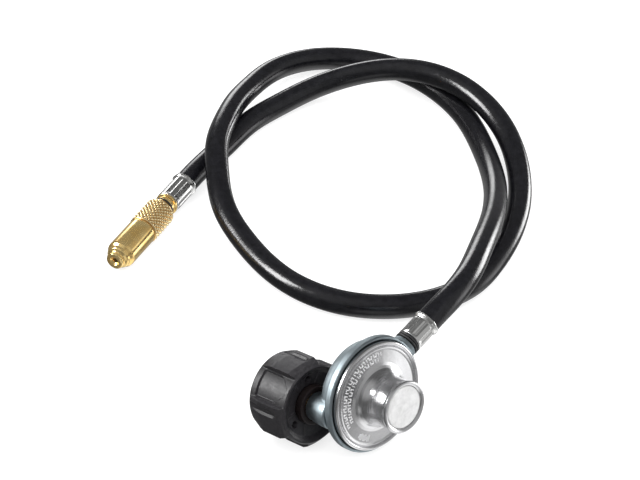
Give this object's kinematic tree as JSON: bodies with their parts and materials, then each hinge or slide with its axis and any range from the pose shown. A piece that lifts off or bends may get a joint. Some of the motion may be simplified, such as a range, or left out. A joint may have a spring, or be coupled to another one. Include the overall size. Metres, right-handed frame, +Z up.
{
  "type": "propane regulator hose",
  "caption": "Low-pressure gas regulator with a plastic handwheel inlet nut, a black rubber hose lying in a double loop, and a brass plug with a knurled sleeve.",
  "frame": {"origin": "on the table, under the middle of the regulator (body, nut and outlet, without the hose)", "axes": "+Z up, +Y along the outlet side from the nut past the disc to the hose ferrule, +X out through the cover's boss, which looks 13 degrees up"},
  "size_m": [0.3535, 0.3514, 0.0721],
  "materials": {
    "zinc": "die-cast zinc, bright bluish passivation",
    "cover": "pressed aluminium, satin",
    "cap_plate": "fine matte",
    "steel": "bright crimped steel",
    "spring_steel": "drawn wire",
    "brass": "machined, bright",
    "black_plastic": "moulded, fine grain",
    "bushing_plastic": "moulded",
    "rubber": "satin",
    "hose_rubber": "smooth, slightly glossy"
  },
  "bodies": {
    "regulator": {"lower_body": "zinc", "upper_cover": "cover", "adjuster_cap": "cap_plate", "adjusting_screw": "brass", "main_spring": "spring_steel", "vent_screen": "spring_steel", "diaphragm": "rubber", "lever_pin": "spring_steel", "orifice": "brass", "inlet_nipple": "brass", "flow_check_spring": "spring_steel", "flow_check_retainer": "brass", "outlet_nipple": "brass", "outlet_seal_inner": "rubber", "outlet_seal_outer": "rubber", "ferrule_regulator_end": "steel", "hose": "hose_rubber", "ferrule_appliance_end": "steel", "appliance_nipple": "brass", "sleeve_snap_ring": "spring_steel", "plug_body": "brass"},
    "handwheel": {"handwheel_nut": "black_plastic", "thermal_bushing": "bushing_plastic"},
    "flow_check": {"flow_check_poppet": "brass"},
    "diaphragm_group": {"diaphragm_plate": "zinc", "pusher_post": "brass", "relief_spring": "spring_steel", "relief_retainer": "brass"},
    "lever_arm": {"lever": "zinc"},
    "valve": {"valve_holder": "brass", "valve_seat_disc": "rubber"},
    "coupling_sleeve": {"knurled_sleeve": "brass"}
  },
  "joints": [
    {"name": "nut_spin", "type": "hinge", "parent": "regulator", "child": "handwheel", "pos_m": [-0.00762, -0.03065, 0.03141], "axis": [-0.9744, 0, -0.225], "continuous": true},
    {"name": "flow_check_slide", "type": "slide", "parent": "regulator", "child": "flow_check", "axis": [0.9744, 0, 0.225], "range_m": [0, 0.0035], "stiffness_N_per_m": 60, "springref_m": -0.004, "deforming": ["flow_check_spring"]},
    {"name": "diaphragm_slide", "type": "slide", "parent": "regulator", "child": "diaphragm_group", "axis": [0.9744, 0, 0.225], "range_m": [0, 0.0018], "stiffness_N_per_m": 500, "springref_m": -0.002, "deforming": ["main_spring", "diaphragm"]},
    {"name": "lever_swing", "type": "hinge", "parent": "regulator", "child": "lever_arm", "pos_m": [0.00008, -0.01965, 0.03319], "axis": [0.225, 0, -0.9744], "range_deg": [0, 6.2]},
    {"name": "valve_slide", "type": "slide", "parent": "regulator", "child": "valve", "axis": [0, -1, 0], "range_m": [0, 0.0007]},
    {"name": "sleeve_spin", "type": "hinge", "parent": "regulator", "child": "coupling_sleeve", "pos_m": [-0.23342, 0.03632, 0.0104], "axis": [0.327, -0.945, 0], "continuous": true}
  ],
  "couplings": [
    {"joint": "lever_swing", "follows": "diaphragm_slide", "rad_per_m": 58.824},
    {"joint": "valve_slide", "follows": "diaphragm_slide", "ratio": 0.36471}
  ]
}
